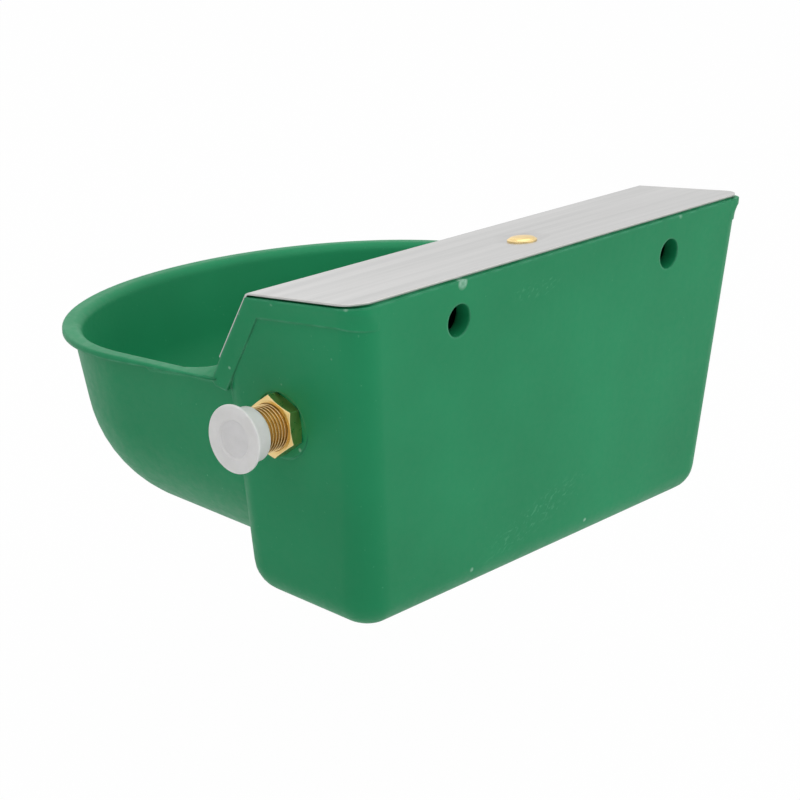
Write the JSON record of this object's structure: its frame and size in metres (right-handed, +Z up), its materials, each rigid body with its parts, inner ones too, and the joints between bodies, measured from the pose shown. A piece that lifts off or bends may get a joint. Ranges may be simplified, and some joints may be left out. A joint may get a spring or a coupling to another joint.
{
  "type": "livestock drinking bowl",
  "caption": "Wall-hung water bowl for livestock: moulded bowl with a float chamber under a steel lid, a brass float valve and a capped threaded side inlet.",
  "frame": {"origin": "midway between the two wall bolts, on the back face", "axes": "+X towards the water inlet, +Y into the wall, +Z up; the bowl stands out towards -Y"},
  "size_m": [0.3132, 0.2644, 0.1561],
  "materials": {
    "body_green": "green moulded polyethylene, slightly satin",
    "lid_steel": "satin stainless sheet",
    "screw_brass": "turned brass",
    "fitting_brass": "machined brass",
    "cap_white": "translucent white polyethylene",
    "rubber_black": "black rubber",
    "nylon_white": "natural nylon",
    "pin_steel": "stainless wire and rod",
    "float_plastic": "natural polypropylene"
  },
  "bodies": {
    "base": {"bowl_body": "body_green", "lid_insert": "fitting_brass", "lock_nut": "fitting_brass", "seal_washer": "rubber_black", "valve_body": "fitting_brass", "valve_seat": "nylon_white", "valve_end_cap": "fitting_brass", "lever_pin": "pin_steel", "pin_clip": "pin_steel"},
    "lid": {"lid": "lid_steel"},
    "lid_screw": {"lid_screw": "screw_brass"},
    "inlet_cap": {"inlet_cap": "cap_white"},
    "piston": {"valve_piston": "fitting_brass", "piston_washer": "rubber_black"},
    "float_arm": {"float_lever": "fitting_brass", "float_rod": "fitting_brass", "rod_lock_nut": "fitting_brass", "float_tube": "float_plastic", "float_upper": "float_plastic", "float_lower": "float_plastic", "float_nuts": "fitting_brass"}
  },
  "joints": [
    {"name": "lid_lift", "type": "slide", "parent": "base", "child": "lid", "axis": [0, -0.1478, 0.989], "range_m": [0, 0.12]},
    {"name": "screw_out", "type": "slide", "parent": "lid", "child": "lid_screw", "axis": [0, -0.1478, 0.989], "range_m": [0, 0.02]},
    {"name": "cap_pull", "type": "slide", "parent": "base", "child": "inlet_cap", "axis": [1, 0, 0], "range_m": [0, 0.04]},
    {"name": "float_lift", "type": "hinge", "parent": "base", "child": "float_arm", "pos_m": [0.09691, -0.048, -0.06094], "axis": [0, 1, 0], "range_deg": [0, 10.5]},
    {"name": "piston_slide", "type": "slide", "parent": "base", "child": "piston", "axis": [1, 0, 0], "range_m": [0, 0.0028]}
  ],
  "couplings": [
    {"joint": "piston_slide", "follows": "float_lift", "m_per_rad": 0.015}
  ]
}
